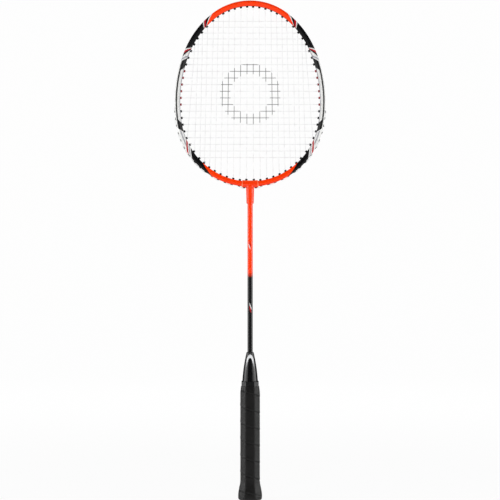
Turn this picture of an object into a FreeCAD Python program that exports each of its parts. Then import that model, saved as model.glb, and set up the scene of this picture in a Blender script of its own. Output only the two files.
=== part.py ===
import FreeCAD, Part
import os
from collections import namedtuple
from math import asin, atan2, cos, degrees, hypot, pi, radians, sin, sqrt

# A strung badminton racket, upright on its butt, in millimetres.
# +Z runs up the shaft to the top of the head, X runs across the head and Y runs through the
# string bed, with the front of the racket towards -Y. The origin is the centre of the butt face.

# --- driving dimensions ---------------------------------------------------------------------

overall_length = 675.0

# Head: a ring of tangent arcs. A long arc runs up and down each side from the widest point.
# Above it come a shoulder arc and a top arc, and below it a bottom arc. The top and the bottom
# arc close on the racket's axis, so their radii follow from the rest.
head_width = 203.4
side_radius = 185.0
upper_side_sweep = 22.0
lower_side_sweep = 9.5
shoulder_radius = 122.0
shoulder_sweep = 28.5

# Frame tube, seen in section: a broad facet slopes from the ridge to the inner wall, and a
# steep one to the outer wall. Its depth is across the unrounded ridges.
frame_thickness = 7.2
frame_depth = 10.6
ridge_inset = 2.7
outer_wall_depth = 5.8
inner_wall_depth = 6.2
frame_wall = 1.0
outer_corner = 0.7
ridge_corner = 1.6
inner_corner = 1.4
cavity_corner = 0.7
groove_depth = 1.6
groove_width = 3.7

# Strings and the holes they run through
string_gauge = 0.70
string_gap = 0.02
string_lift = 0.12
cross_count = 22
top_cross_drop = 20.3
lowest_cross_rise = 31.6
tight_crosses = 4
tight_pitch_share = 0.88
grooved_crosses = 14
groove_run_out = 0.72
red_crosses = 6
top_holes = 6
bottom_holes = 8
top_centre_gap = 8.0
bottom_centre_gap = 9.6
skipped_cross = 20

# Grommets
bore_diameter = 1.8
barrel_diameter = 2.8
flange_diameter = 3.4
tip_reach = 1.3
groove_flange = 0.8
proud_flange = 0.7
throat_flange = 0.8
mouth_chamfer = 0.3
flange_edge = 0.15
bend_reach = 0.7
throat_hole_spread = 15.8
knot_diameter = 2.2
knot_length = 2.4
knot_edge = 0.4

# T-joint between head and shaft
sleeve_wall = 1.1
sleeve_width = 22.5
stem_length = 22.9
stem_foot_diameter = 9.7
stem_top_diameter = 10.7
stem_flare = 0.9
flare_height = 2.6
stem_rim = 0.8
hoop_gap = 6.4
core_width = 20.0
core_shank_length = 34.0

# Shaft
shaft_diameter = 7.0
shaft_wall = 0.75
shaft_insertion = 100.0

# Handle
grip_length = 154.8
handle_width = 23.2
handle_depth = 21.4
handle_bevel = 6.0
wrap_thickness = 1.6
wrap_lead_in = 8.0
wrap_edge = 0.6
flare_top = 28.0
flare_base = 7.0
butt_flare = 2.9
butt_edge_height = 5.0
butt_edge_radius = 4.0
disc_inset = 0.15
disc_chamfer = 0.6
disc_boss_height = 4.0
core_spigot_inset = 3.1
core_bore_diameter = 9.0
core_bore_length = 46.0
neck_diameter = 17.0
neck_height = 20.0
band_height = 6.8
band_chamfer = 0.6
cone_height = 39.1
cone_base_diameter = 21.0
cone_tip_diameter = 10.0
cone_bulge = 0.8
cone_shoulder = 1.3
staple_wire = 1.0
staple_crown = 8.0
staple_leg = 9.0
staple_offset = 6.6

# Clearances
bond_gap = 0.05
hole_clearance = 0.05
running_gap = 0.1

# --- helpers --------------------------------------------------------------------------------

V = FreeCAD.Vector
ORIGIN = V(0, 0, 0)
X_AXIS = V(1, 0, 0)
Y_AXIS = V(0, 1, 0)
Z_AXIS = V(0, 0, 1)
STRAIGHT = radians(0.5)

Arc = namedtuple("Arc", "x z radius start end")
Hole = namedtuple("Hole", "tip axis depth head")


def unit(vector):
    return vector * (1 / vector.Length)


def line(start, end):
    return Part.LineSegment(start, end).toShape()


def polygon(points):
    return Part.makePolygon(points + points[:1])


def rounded_loop(points, radii):
    """Closed wire through the points, with each corner rounded to its own radius."""
    corners = []
    for i, (point, radius) in enumerate(zip(points, radii)):
        back = unit(points[i - 1] - point)
        ahead = unit(points[(i + 1) % len(points)] - point)
        half = back.getAngle(ahead) / 2
        inward = unit(back + ahead)
        reach = radius * cos(half) / sin(half)
        middle = point + inward * (radius / sin(half) - radius)
        corners.append((point + back * reach, middle, point + ahead * reach))
    edges = []
    for i, (start, middle, end) in enumerate(corners):
        edges.append(Part.Arc(start, middle, end).toShape())
        edges.append(line(end, corners[(i + 1) % len(corners)][0]))
    return Part.Wire(edges)


def inset_polygon(points, distances):
    """Convex polygon, anticlockwise, with the side after each point moved in by its distance."""
    sides = []
    for i, point in enumerate(points):
        along = unit(points[(i + 1) % len(points)] - point)
        inward = V(-along.y, along.x, 0)
        sides.append((point + inward * distances[i], along))
    moved = []
    for i, (start, along) in enumerate(sides):
        last, before = sides[i - 1]
        reach = (start - last).cross(along).z / before.cross(along).z
        moved.append(last + before * reach)
    return moved


def turned(points):
    """Solid of revolution about Z from (radius, height) points."""
    face = Part.Face(polygon([V(r, 0, z) for r, z in points]))
    return face.revolve(ORIGIN, Z_AXIS, 360)


def cylinder(radius, low, high):
    return Part.makeCylinder(radius, high - low, V(0, 0, low))


def mirrored(shape):
    return shape.mirror(ORIGIN, X_AXIS)


def aimed(shape, point, direction):
    """The shape with its +Z turned to a direction in the XZ plane and its origin moved to a point."""
    placed = shape.copy()
    placed.rotate(ORIGIN, Y_AXIS, degrees(atan2(direction.x, direction.z)))
    placed.translate(point)
    return placed


# --- head outline ---------------------------------------------------------------------------


def head_arcs():
    """Right half of the frame's outer edge, from the top centre down to the bottom centre."""
    upper = radians(upper_side_sweep)
    lower = radians(lower_side_sweep)
    high = upper + radians(shoulder_sweep)
    side_x = head_width / 2 - side_radius
    shoulder_x = side_x + (side_radius - shoulder_radius) * cos(upper)
    shoulder_rise = (side_radius - shoulder_radius) * sin(upper)
    top_radius = shoulder_radius + shoulder_x / cos(high)
    top_rise = shoulder_rise + (shoulder_radius - top_radius) * sin(high)
    bottom_radius = side_radius + side_x / cos(lower)
    bottom_drop = (side_radius - bottom_radius) * sin(lower)
    widest = overall_length - top_rise - top_radius
    return [
        Arc(0, widest + top_rise, top_radius, pi / 2, high),
        Arc(shoulder_x, widest + shoulder_rise, shoulder_radius, high, upper),
        Arc(side_x, widest, side_radius, upper, -lower),
        Arc(0, widest - bottom_drop, bottom_radius, -lower, -pi / 2),
    ]


def rim_point(angle, inset):
    """Point this far inside the frame's outer edge, where the edge faces this angle from +X."""
    arc = next(arc for arc in RIM if angle >= arc.end - 1e-9)
    radius = arc.radius - inset
    return V(arc.x + radius * cos(angle), 0, arc.z + radius * sin(angle))


def angle_at_height(height, inset):
    for arc in RIM:
        share = (height - arc.z) / (arc.radius - inset)
        if abs(share) <= 1 and arc.end <= asin(share) <= arc.start:
            return asin(share)


def rim_length(angle, inset):
    """Length of the inset edge from the top centre down to an angle."""
    length = 0
    for arc in RIM:
        length += (arc.radius - inset) * (arc.start - max(min(angle, arc.start), arc.end))
    return length


def angle_at_length(length, inset):
    for arc in RIM:
        span = (arc.radius - inset) * (arc.start - arc.end)
        if length <= span:
            return arc.start - length / (arc.radius - inset)
        length -= span


def rim_sweep(points, radii, start=pi / 2, end=-pi / 2):
    """Both halves of the head swept with one section, between two angles of the right half."""
    parts = []
    for arc in RIM:
        high = min(start, arc.start)
        low = max(end, arc.end)
        if high - low < 1e-6:
            continue
        if radii:
            wire = rounded_loop([V(arc.radius + p.x, p.y, 0) for p in points], radii)
        else:
            wire = polygon([V(arc.radius + p.x, p.y, 0) for p in points])
        face = Part.Face(wire)
        face.rotate(ORIGIN, Y_AXIS, -degrees(high))
        centre = V(arc.x, 0, arc.z)
        face.translate(centre)
        parts.append(face.revolve(centre, Y_AXIS, degrees(high - low)))
    parts += [mirrored(part) for part in parts]
    return parts[0].fuse(parts[1:]).removeSplitter()


RIM = head_arcs()
RIM_BOTTOM = RIM[-1].z - RIM[-1].radius

# Section of the frame tube: x is the distance outside the head's outer edge, y is along Y.
SECTION = [
    V(0, -outer_wall_depth / 2, 0),
    V(0, outer_wall_depth / 2, 0),
    V(-ridge_inset, frame_depth / 2, 0),
    V(-frame_thickness, inner_wall_depth / 2, 0),
    V(-frame_thickness, -inner_wall_depth / 2, 0),
    V(-ridge_inset, -frame_depth / 2, 0),
]
SECTION_RADII = [outer_corner, outer_corner, ridge_corner, inner_corner, inner_corner, ridge_corner]


def tube_cavity():
    """Hollow of the tube: a wall inside the broad facets, and clear of the string groove."""
    slope = (frame_depth - inner_wall_depth) / 2 / (frame_thickness - ridge_inset)
    wide = inner_wall_depth / 2 + slope * frame_thickness
    wedge = [V(0, -wide, 0), V(0, wide, 0), SECTION[3], SECTION[4]]
    return inset_polygon(wedge, [groove_depth + frame_wall] + [frame_wall] * 3)


CAVITY = tube_cavity()
CAVITY_RADII = [cavity_corner] * 4


# --- holes ----------------------------------------------------------------------------------

TIP_INSET = frame_thickness + tip_reach
CROSS_TOP = overall_length - frame_thickness - top_cross_drop
CROSS_BOTTOM = RIM_BOTTOM + frame_thickness + lowest_cross_rise
CROSS_GAPS = cross_count - 1 - tight_crosses * (1 - tight_pitch_share)
CROSS_PITCH = (CROSS_TOP - CROSS_BOTTOM) / CROSS_GAPS


def cross_height(number):
    """Height of a cross string, counted from 0 at the top. The first few lie closer together."""
    tight = min(number, tight_crosses)
    return CROSS_TOP - CROSS_PITCH * (number - tight * (1 - tight_pitch_share))


CROSS_ANGLES = [angle_at_height(cross_height(n), TIP_INSET) for n in range(cross_count)]
LAST_GROOVED = CROSS_ANGLES[grooved_crosses - 1]
GROOVE_END = LAST_GROOVED + (CROSS_ANGLES[grooved_crosses] - LAST_GROOVED) * groove_run_out


def rim_hole(angle):
    """Hole square to the rim, whose grommet head sits in the string groove where there is one."""
    grooved = angle > GROOVE_END
    depth = TIP_INSET - (groove_depth if grooved else 0)
    head = groove_flange if grooved else proud_flange
    return Hole(rim_point(angle, TIP_INSET), V(cos(angle), 0, sin(angle)), depth, head)


def throat_hole():
    """Hole through the T-joint, slanted so that its outer end clears the stem."""
    length = rim_length(-pi / 2, TIP_INSET) - bottom_centre_gap / 2
    skin = sleeve_wall + bond_gap
    tip = rim_point(angle_at_length(length, TIP_INSET), TIP_INSET + skin)
    outer_x = throat_hole_spread / 2
    outer_radius = RIM[-1].radius + skin
    outer = V(outer_x, 0, RIM[-1].z - sqrt(outer_radius**2 - outer_x**2))
    axis = unit(outer - tip)
    slant = axis.getAngle(outer - V(0, 0, RIM[-1].z))
    lift = flange_diameter / 2 * sin(slant)
    return Hole(tip, axis, (outer - tip).Length + lift, throat_flange)


def top_rim_holes():
    """Holes for the middle mains at the top, evenly spaced from the centre to the first cross."""
    first = top_centre_gap / 2
    pitch = (rim_length(CROSS_ANGLES[0], TIP_INSET) - first) / top_holes
    lengths = [first + pitch * n for n in range(top_holes)]
    return [rim_hole(angle_at_length(length, TIP_INSET)) for length in lengths]


def bottom_rim_holes():
    """Holes for the middle mains at the bottom, from the T-joint out to the last cross."""
    centre = rim_length(-pi / 2, TIP_INSET) - bottom_centre_gap / 2
    pitch = (centre - rim_length(CROSS_ANGLES[-1], TIP_INSET)) / bottom_holes
    lengths = [centre - pitch * n for n in range(1, bottom_holes)]
    return [throat_hole()] + [rim_hole(angle_at_length(s, TIP_INSET)) for s in lengths]


TOP_HOLES = top_rim_holes()
CROSS_HOLES = [rim_hole(angle) for angle in CROSS_ANGLES]
BOTTOM_HOLES = bottom_rim_holes()

# The outer mains share the cross strings' holes: from the first cross down at the top of the
# head, and from the last cross up at the bottom, where one cross string keeps its hole alone.
LOWER_CROSS_HOLES = CROSS_HOLES[: skipped_cross - 1] + CROSS_HOLES[skipped_cross:]
MAIN_TOPS = TOP_HOLES + CROSS_HOLES
MAIN_BOTTOMS = BOTTOM_HOLES + LOWER_CROSS_HOLES[::-1]
HALF_MAINS = cross_count // 2
TIE_HOLE = CROSS_HOLES[skipped_cross - 1]


def hole_cutter(hole):
    radius = barrel_diameter / 2 + hole_clearance
    reach = 2 * flange_diameter
    drill = cylinder(radius, -reach, hole.depth + reach)
    return aimed(drill, hole.tip, hole.axis)


def both_sides(shapes):
    return shapes + [mirrored(shape) for shape in shapes]


# --- head, T-joint and shaft ----------------------------------------------------------------


def head_frame():
    """Hollow hoop with a string groove round its top and sides, open inside the T-joint."""
    tube = rim_sweep(SECTION, SECTION_RADII).cut(rim_sweep(CAVITY, CAVITY_RADII))
    groove = [
        V(-groove_depth, -groove_width / 2, 0),
        V(groove_depth, -groove_width / 2, 0),
        V(groove_depth, groove_width / 2, 0),
        V(-groove_depth, groove_width / 2, 0),
    ]
    tube = tube.cut(rim_sweep(groove, None, end=GROOVE_END))
    opening = Part.makeBox(hoop_gap, 2 * frame_depth, 4 * frame_thickness)
    opening.translate(V(-hoop_gap / 2, -frame_depth, RIM_BOTTOM - frame_thickness))
    drills = [hole_cutter(hole) for hole in TOP_HOLES + CROSS_HOLES + BOTTOM_HOLES]
    return tube.cut([opening] + both_sides(drills))


def bottom_sweep(points, radii, width):
    reach = asin(width / 2 / RIM[-1].radius)
    return rim_sweep(points, radii, start=reach - pi / 2)


def stem_profile():
    """Outside of the T-joint's stem: a slight taper, a rounded foot and a flare under the rim."""
    top = RIM_BOTTOM + frame_thickness / 2
    foot = RIM_BOTTOM - stem_length
    foot_radius = stem_foot_diameter / 2
    top_radius = stem_top_diameter / 2
    neck = RIM_BOTTOM - sleeve_wall - flare_height
    ease = 1 - sqrt(0.5)
    corner = V(foot_radius - stem_rim * ease, 0, foot + stem_rim * ease)
    bend = V(top_radius + stem_flare * ease, 0, neck + flare_height * sqrt(0.5))
    flare_end = V(top_radius + stem_flare, 0, neck + flare_height)
    return Part.Wire([
        line(V(0, 0, top), V(0, 0, foot)),
        line(V(0, 0, foot), V(foot_radius - stem_rim, 0, foot)),
        Part.Arc(V(foot_radius - stem_rim, 0, foot), corner, V(foot_radius, 0, foot + stem_rim)).toShape(),
        line(V(foot_radius, 0, foot + stem_rim), V(top_radius, 0, neck)),
        Part.Arc(V(top_radius, 0, neck), bend, flare_end).toShape(),
        line(flare_end, V(flare_end.x, 0, top)),
        line(V(flare_end.x, 0, top), V(0, 0, top)),
    ])


def throat_sleeve():
    """T-shaped shell over the hoop's two ends and the top of the shaft."""
    shell = [-(sleeve_wall + bond_gap)] * 6
    skin = bottom_sweep(inset_polygon(SECTION, shell), SECTION_RADII, sleeve_width)
    stem = Part.Face(stem_profile()).revolve(ORIGIN, Z_AXIS, 360)
    hoop = bottom_sweep(inset_polygon(SECTION, [-bond_gap] * 6), SECTION_RADII, 2 * sleeve_width)
    bore = cylinder(shaft_diameter / 2 + bond_gap, RIM_BOTTOM - 2 * stem_length, RIM_BOTTOM)
    hole = BOTTOM_HOLES[0]
    seat = cylinder(flange_diameter / 2 + hole_clearance, hole.depth, hole.depth + sleeve_width)
    holes = both_sides([hole_cutter(hole), aimed(seat, hole.tip, hole.axis)])
    return skin.fuse(stem).cut([hoop, bore] + holes)


def throat_core():
    """T-shaped plug inside the hoop's ends, with a shank down into the shaft."""
    arms = bottom_sweep(inset_polygon(CAVITY, [bond_gap] * 4), CAVITY_RADII, core_width)
    radius = shaft_diameter / 2 - shaft_wall - bond_gap
    shank = cylinder(radius, RIM_BOTTOM - core_shank_length, RIM_BOTTOM + frame_thickness / 2)
    return arms.fuse(shank).cut(both_sides([hole_cutter(BOTTOM_HOLES[0])]))


def shaft():
    top = RIM_BOTTOM - bond_gap
    low = grip_length + band_height - shaft_insertion
    tube = cylinder(shaft_diameter / 2, low, top)
    return tube.cut(cylinder(shaft_diameter / 2 - shaft_wall, low - 1, top + 1))


# --- grommets -------------------------------------------------------------------------------


def grommet(hole):
    """Flanged tube with chamfered mouths, from its inner tip out to its head."""
    bore = bore_diameter / 2
    barrel = barrel_diameter / 2
    flange = flange_diameter / 2
    top = hole.depth + hole.head
    shape = turned([
        (bore + mouth_chamfer, 0),
        (bore, mouth_chamfer),
        (bore, top - mouth_chamfer),
        (bore + mouth_chamfer, top),
        (flange - flange_edge, top),
        (flange, top - flange_edge),
        (flange, hole.depth),
        (barrel, hole.depth),
        (barrel, flange_edge),
        (barrel - flange_edge, 0),
    ])
    return aimed(shape, hole.tip, hole.axis)


def grommet_groups():
    """Grommets by place and colour: the last crosses in the groove have coloured ones."""
    first_red = grooved_crosses - red_crosses
    places = {
        "top": TOP_HOLES,
        "shoulder": CROSS_HOLES[:first_red],
        "side_red": CROSS_HOLES[first_red:grooved_crosses],
        "lower_side": CROSS_HOLES[grooved_crosses:],
        "bottom": BOTTOM_HOLES[1:],
    }
    groups = {}
    for place, holes in places.items():
        right = [grommet(hole) for hole in holes]
        groups[f"grommets_{place}_right"] = right
        groups[f"grommets_{place}_left"] = [mirrored(shape) for shape in right]
    groups["grommets_throat"] = both_sides([grommet(BOTTOM_HOLES[0])])
    return groups


# --- strings --------------------------------------------------------------------------------


def string_points(hole, side, y):
    """The string's bends at one hole: just inside the grommet's tip, and over its head."""
    inside = hole.tip - hole.axis * bend_reach
    outside = hole.tip + hole.axis * (hole.depth + hole.head + string_lift + string_gauge / 2)
    return [V(side * inside.x, y, inside.z), V(side * outside.x, y, outside.z)]


def string_solid(points):
    """Round string along straight runs, with an arc at each bend that is more than slight."""
    edges = []
    start = points[0]
    for i in range(1, len(points) - 1):
        point = points[i]
        back = unit(start - point)
        ahead = unit(points[i + 1] - point)
        turn = pi - back.getAngle(ahead)
        if turn < STRAIGHT:
            continue
        radius = bend_reach / abs(sin(turn / 2) / cos(turn / 2))
        middle = point + unit(back + ahead) * (radius / cos(turn / 2) - radius)
        enter = point + back * bend_reach
        leave = point + ahead * bend_reach
        edges.append(line(start, enter))
        edges.append(Part.Arc(enter, middle, leave).toShape())
        start = leave
    edges.append(line(start, points[-1]))
    path = Part.Wire(edges)
    first = edges[0].tangentAt(edges[0].FirstParameter)
    ring = Part.Wire(Part.makeCircle(string_gauge / 2, points[0], first))
    return path.makePipeShell([ring], True, False)


STRING_Y = (string_gauge + string_gap) / 2


def main_route():
    """Up and down through the holes from left to right, tied off beside the outermost mains."""
    runs = []
    for place in list(range(-HALF_MAINS, 0)) + list(range(1, HALF_MAINS + 1)):
        side = 1 if place > 0 else -1
        low = string_points(MAIN_BOTTOMS[abs(place) - 1], side, -STRING_Y)
        high = string_points(MAIN_TOPS[abs(place) - 1], side, -STRING_Y)
        upward = [low[1], low[0], high[0], high[1]]
        runs += upward if len(runs) % 8 == 0 else upward[::-1]
    return string_points(TIE_HOLE, -1, -STRING_Y) + runs + string_points(TIE_HOLE, 1, -STRING_Y)[::-1]


def cross_route():
    """Across and back from the top down, with both ends tied off on the left."""
    runs = []
    for number, hole in enumerate(CROSS_HOLES):
        left = string_points(hole, -1, STRING_Y)
        right = string_points(hole, 1, STRING_Y)
        rightward = [left[1], left[0], right[0], right[1]]
        runs += rightward if number % 2 == 0 else rightward[::-1]
    start = string_points(TOP_HOLES[-1], -1, STRING_Y)
    end = string_points(BOTTOM_HOLES[-1], -1, STRING_Y)
    return start + runs + end[::-1]


def string_knots(strings):
    """Tie-off knots, snug against the grommets where the two strings end."""
    barrel = cylinder(knot_diameter / 2, -knot_length - bond_gap, -bond_gap)
    rims = [edge for edge in barrel.Edges if len(edge.Vertexes) == 1]
    barrel = barrel.makeFillet(knot_edge, rims)
    places = [(TIE_HOLE, -1), (TIE_HOLE, 1), (TOP_HOLES[-1], -1), (BOTTOM_HOLES[-1], -1)]
    knots = []
    for hole, side in places:
        knot = aimed(barrel, hole.tip, hole.axis)
        knots.append((knot if side > 0 else mirrored(knot)).cut(strings))
    return knots


# --- handle ---------------------------------------------------------------------------------


def octagon(outset, height):
    """Cross-section of the handle, moved outwards by a distance, at a height."""
    x = handle_width / 2 + outset
    y = handle_depth / 2 + outset
    bevel = handle_bevel + outset * (2 - sqrt(2))
    points = [(x, bevel - y), (x, y - bevel), (x - bevel, y), (bevel - x, y)]
    points += [(-a, -b) for a, b in points]
    return polygon([V(a, b, height) for a, b in points])


def octagon_loft(stations):
    """Solid through (outset, height) stations."""
    return Part.makeLoft([octagon(outset, height) for outset, height in stations], True, True)


def butt_stations(thickness):
    """Stations of the flared butt, this thick outside the butt cap, from the end face up."""
    stations = []
    for step in range(4, -1, -1):
        turn = pi / 2 * step / 4
        radius = butt_edge_radius - wrap_thickness + thickness
        outset = butt_flare + thickness - radius * (1 - cos(turn))
        stations.append((outset, butt_edge_height - radius * sin(turn)))
    for step in range(7):
        share = step / 6
        outset = butt_flare * (1 + cos(pi * share)) / 2 + thickness
        stations.append((outset, flare_base + (flare_top - flare_base) * share))
    return stations


CAP_BASE = butt_stations(0)[0][1]
OPENING_OUTSET = butt_stations(0)[0][0]
BAND_TOP = grip_length + band_height
NECK_TOP = grip_length + neck_height


def staples():
    """Two wire staples through the end disc, crowns level with its face."""
    half = staple_crown / 2
    width = staple_wire
    made = []
    for y in (-staple_offset, staple_offset):
        crown = Part.makeBox(staple_crown, width, width, V(-half, y - width / 2, 0))
        legs = [Part.makeBox(width, width, staple_leg, V(x, y - width / 2, 0)) for x in (-half, half - width)]
        made.append(crown.fuse(legs).removeSplitter())
    return made


def handle_core():
    """Octagonal timber core: a spigot for the butt cap, a neck for the cone, and bores."""
    spigot = octagon_loft([(-core_spigot_inset, CAP_BASE), (-core_spigot_inset, flare_top)])
    body = octagon_loft([(0, flare_top), (0, grip_length)])
    neck = cylinder(neck_diameter / 2, grip_length, NECK_TOP)
    socket = cylinder(shaft_diameter / 2 + bond_gap, BAND_TOP - shaft_insertion, NECK_TOP + 1)
    hollow = cylinder(core_bore_diameter / 2, CAP_BASE - 1, core_bore_length)
    return spigot.fuse([body, neck]).removeSplitter().cut([socket, hollow] + staples())


def butt_cap():
    """Flared cap on the core's spigot."""
    gap = running_gap / 2
    inside = octagon_loft([(gap - core_spigot_inset, -1), (gap - core_spigot_inset, flare_top + 1)])
    return octagon_loft(butt_stations(0)).cut(inside)


def butt_disc():
    """Octagonal end disc in the wrap's opening, with a boss in the core's bore."""
    outset = OPENING_OUTSET - disc_inset
    plate = octagon_loft([(outset - disc_chamfer, 0), (outset, disc_chamfer), (outset, CAP_BASE)])
    boss = cylinder(core_bore_diameter / 2 - running_gap, CAP_BASE, CAP_BASE + disc_boss_height)
    return plate.fuse(boss).removeSplitter().cut(staples())


def grip_wrap():
    """Cushioned wrap, as one sleeve over the cap and the core, thinner at its top edge."""
    full = grip_length - wrap_lead_in
    outer = butt_stations(wrap_thickness) + [(wrap_thickness, full), (wrap_edge, grip_length)]
    inner = butt_stations(bond_gap) + [(bond_gap, grip_length + 1)]
    opening = octagon_loft([(OPENING_OUTSET, -1), (OPENING_OUTSET, flare_base)])
    return octagon_loft(outer).cut([octagon_loft(inner), opening])


def finishing_band():
    """Octagonal band between the wrap and the cone, level with the core's facets."""
    ring = octagon_loft([(0, grip_length), (0, BAND_TOP - band_chamfer), (-band_chamfer, BAND_TOP)])
    return ring.cut(cylinder(neck_diameter / 2 + running_gap / 2, 0, BAND_TOP + 1))


def cone_cap():
    """Bulged cone from the band up to the shaft, fitted over the core's neck."""
    base = cone_base_diameter / 2
    tip = cone_tip_diameter / 2
    top = BAND_TOP + cone_height
    shoulder = top - cone_shoulder
    slope = hypot(base - tip, shoulder - BAND_TOP)
    bulge = V((base + tip) / 2, 0, (BAND_TOP + shoulder) / 2)
    bulge += V(shoulder - BAND_TOP, 0, base - tip) * (cone_bulge / slope)
    ease = cone_shoulder * (1 - sqrt(0.5))
    profile = Part.Wire([
        line(V(0, 0, top), V(0, 0, BAND_TOP)),
        line(V(0, 0, BAND_TOP), V(base, 0, BAND_TOP)),
        Part.Arc(V(base, 0, BAND_TOP), bulge, V(tip, 0, shoulder)).toShape(),
        Part.Arc(V(tip, 0, shoulder), V(tip - ease, 0, top - ease), V(tip - cone_shoulder, 0, top)).toShape(),
        line(V(tip - cone_shoulder, 0, top), V(0, 0, top)),
    ])
    cone = Part.Face(profile).revolve(ORIGIN, Z_AXIS, 360)
    socket = cylinder(neck_diameter / 2 + running_gap / 2, 0, NECK_TOP + running_gap)
    return cone.cut([socket, cylinder(shaft_diameter / 2 + bond_gap, 0, top + 1)])


# --- assembly -------------------------------------------------------------------------------


def build():
    main_string = string_solid(main_route())
    cross_string = string_solid(cross_route())
    nodes = {
        "head_frame": [head_frame()],
        "throat_sleeve": [throat_sleeve()],
        "throat_core": [throat_core()],
        "shaft": [shaft()],
        "cone_cap": [cone_cap()],
        "finishing_band": [finishing_band()],
        "handle_core": [handle_core()],
        "butt_cap": [butt_cap()],
        "butt_disc": [butt_disc()],
        "butt_staples": staples(),
        "grip_wrap": [grip_wrap()],
        "main_string": [main_string],
        "cross_string": [cross_string],
        "string_knots": string_knots([main_string, cross_string]),
    }
    nodes.update(grommet_groups())
    return nodes


os.makedirs("parts", exist_ok=True)
for name, solids in build().items():
    shape = solids[0] if len(solids) == 1 else Part.makeCompound(solids)
    shape.exportStep(f"parts/{name}.step")
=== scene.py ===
"""Badminton racket: livery, woven strings, wrapped grip, small fittings, and a plain studio."""

from collections import namedtuple
from math import atan2, cos, exp, hypot, pi, radians, sin, sqrt

import bmesh
import bpy
import numpy as np
from bpy.props import FloatProperty, FloatVectorProperty, PointerProperty
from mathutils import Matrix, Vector
from mathutils.kdtree import KDTree


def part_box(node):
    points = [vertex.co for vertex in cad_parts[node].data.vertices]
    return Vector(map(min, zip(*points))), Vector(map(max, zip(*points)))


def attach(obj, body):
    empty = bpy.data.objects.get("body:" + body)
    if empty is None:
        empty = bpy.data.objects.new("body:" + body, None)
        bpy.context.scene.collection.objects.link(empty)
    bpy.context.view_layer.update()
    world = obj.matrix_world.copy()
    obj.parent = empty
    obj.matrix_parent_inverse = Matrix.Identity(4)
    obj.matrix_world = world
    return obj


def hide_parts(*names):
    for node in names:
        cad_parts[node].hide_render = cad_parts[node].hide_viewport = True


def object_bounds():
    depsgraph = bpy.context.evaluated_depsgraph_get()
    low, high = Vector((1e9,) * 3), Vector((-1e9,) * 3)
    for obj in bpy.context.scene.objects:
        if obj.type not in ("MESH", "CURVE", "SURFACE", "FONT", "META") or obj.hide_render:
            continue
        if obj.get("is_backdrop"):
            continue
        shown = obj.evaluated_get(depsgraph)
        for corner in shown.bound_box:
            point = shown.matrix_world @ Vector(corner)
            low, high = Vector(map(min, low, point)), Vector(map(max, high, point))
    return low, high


bl_info = {
    "name": "Badminton racket",
    "version": (1, 0, 0),
    "blender": (4, 5, 0),
    "location": "View3D > Sidebar > Racket",
    "description": "Dresses the packed racket and sets up its studio",
    "category": "Object",
}

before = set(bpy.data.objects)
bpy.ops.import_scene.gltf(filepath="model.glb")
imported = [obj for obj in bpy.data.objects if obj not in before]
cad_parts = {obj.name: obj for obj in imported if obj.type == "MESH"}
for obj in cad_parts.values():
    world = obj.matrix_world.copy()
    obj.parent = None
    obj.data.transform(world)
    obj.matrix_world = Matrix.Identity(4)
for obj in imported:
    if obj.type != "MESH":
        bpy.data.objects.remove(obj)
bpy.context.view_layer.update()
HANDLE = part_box("handle_core")[1]
WRAP_BASE, WRAP_TOP = (corner.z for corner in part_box("grip_wrap"))
MM = 0.001

# Arcs of the head's right half from the top round to the throat, in millimetres and degrees:
# centre across, centre up, radius, first angle, last angle.
RIM_ARCS = [
    (0, 592.13, 82.87, 90, 50.5),
    (-24.9, 561.94, 122, 50.5, 22),
    (-83.3, 538.34, 185, 22, -9.5),
    (0, 524.4, 100.54, -9.5, -90),
]
RIM_WIDTH = 7.2

# Grommets' tips: how far inside the rim's inner edge they start in millimetres, the distance in
# metres under which two corners are one, and the angle in degrees above which an edge stays sharp.
TIP_START = 0.4
WELD = 0.001 * MM
SHARP_ANGLE = 50

# Livery of the rim, as cuts across it from the top round to the throat: where the cut meets the
# outer edge and the inner edge, in millimetres along the rim, and the colour that starts there.
LIVERY = [
    (54.6, 73.0, "silver"),
    (59.0, 73.3, "black"),
    (65.6, 74.8, "red"),
    (70.1, 77.0, "silver"),
    (72.6, 77.8, "black"),
    (115.6, 110.2, "silver"),
    (118.0, 111.4, "red"),
    (122.0, 112.7, "black"),
    (127.2, 114.0, "silver"),
    (129.0, 122.0, "grey"),
    (131.8, 124.6, "silver"),
    (258.9, 243.2, "red"),
    (263.8, 248.2, "silver"),
    (266.8, 251.0, "grey"),
    (269.2, 253.8, "silver"),
    (271.2, 257.6, "black"),
    (306.5, 284.6, "orange"),
]

# Black ridge line of the side panel, from inset to inset, and the two blocks that it joins, each
# between two cuts like those above. The blocks start a little inside the line's outer side.
RIDGE_BAND = (1.1, 3.3)
BLOCK_START = 1.7
UPPER_BLOCK = ((134.1, 126.1), (149.5, 140.4))
LOWER_BLOCK = ((209.5, 218.5), (224.2, 232.1))

# Grey stripe and painted edge shade along the rim: first cut, last cut, and from inset to inset.
GREY_STRIPE_AND_EDGE_SHADE = [
    ((225.8, 233.4), (261.0, 239.0), (3.0, 4.5)),
    # Painted shade along the rim's inner edge, where the rim turns away from the light.
    ((127.2, 114.0), (258.9, 243.2), (6.45, 7.3)),
]

# Pale line and painted highlight on the throat sleeve, in millimetres: the pale line's width at
# the two ends, the painted highlight's width along the top, and how strong that highlight is.
SLEEVE_END = 1.1
SLEEVE_TOP_HIGHLIGHT = 1.6
TOP_HIGHLIGHT_SHARE = 0.2

# Slashes on the shaft, in millimetres: place across, place up, height, width, slant, and colour.
SLASHES = [
    (-0.2, 346.0, 8.6, 1.5, 0.9, "red"),
    (-0.8, 343.0, 8.0, 1.3, 1.3, "silver"),
    (0.5, 262.4, 10.0, 1.3, 1.6, "silver"),
    (0.3, 258.3, 10.0, 1.7, 1.3, "red"),
]

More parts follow.
